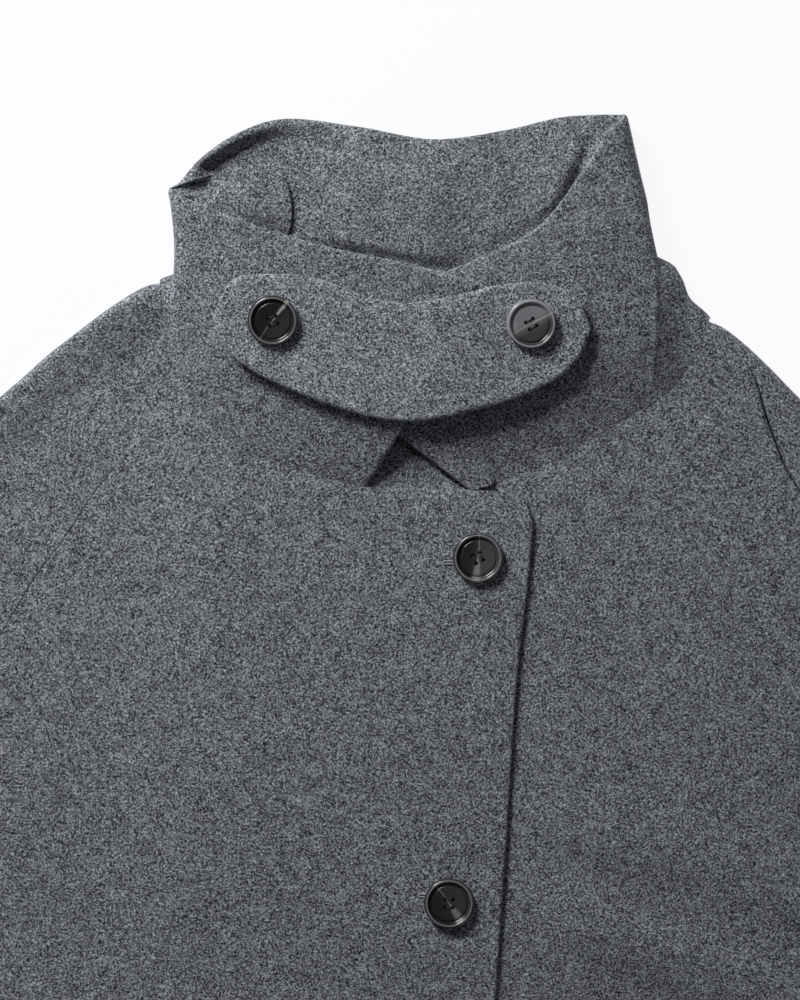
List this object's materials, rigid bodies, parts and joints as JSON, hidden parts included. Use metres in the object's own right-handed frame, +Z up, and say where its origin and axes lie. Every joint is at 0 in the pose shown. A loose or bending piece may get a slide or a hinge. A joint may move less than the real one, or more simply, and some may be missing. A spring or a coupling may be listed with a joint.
{
  "type": "short coat",
  "caption": "Short wool coat laid flat and buttoned, with raglan sleeves, a large collar turned up and a buttoned throat tab.",
  "frame": {"origin": "on the surface the coat lies on, under the middle of its outline", "axes": "+X to the viewer's right across the spread sleeves, +Y from the hem towards the collar, +Z up out of the surface"},
  "size_m": [1.202, 0.7419, 0.029],
  "materials": {
    "melton": "brushed grey melange wool, matte",
    "tab_melton": "brushed grey melange wool, matte",
    "horn": "dark polished horn with a raised rim and four holes"
  },
  "bodies": {
    "root": {"back": "melton", "sleeve_back_left": "melton", "sleeve_front_left": "melton", "sleeve_back_right": "melton", "sleeve_front_right": "melton", "front_under": "melton", "front_over": "melton", "collar": "melton", "collar_tab": "tab_melton", "button_tab_left": "horn", "button_tab_right": "horn", "button_front_1": "horn", "button_front_2": "horn", "button_front_3": "horn"}
  },
  "joints": []
}
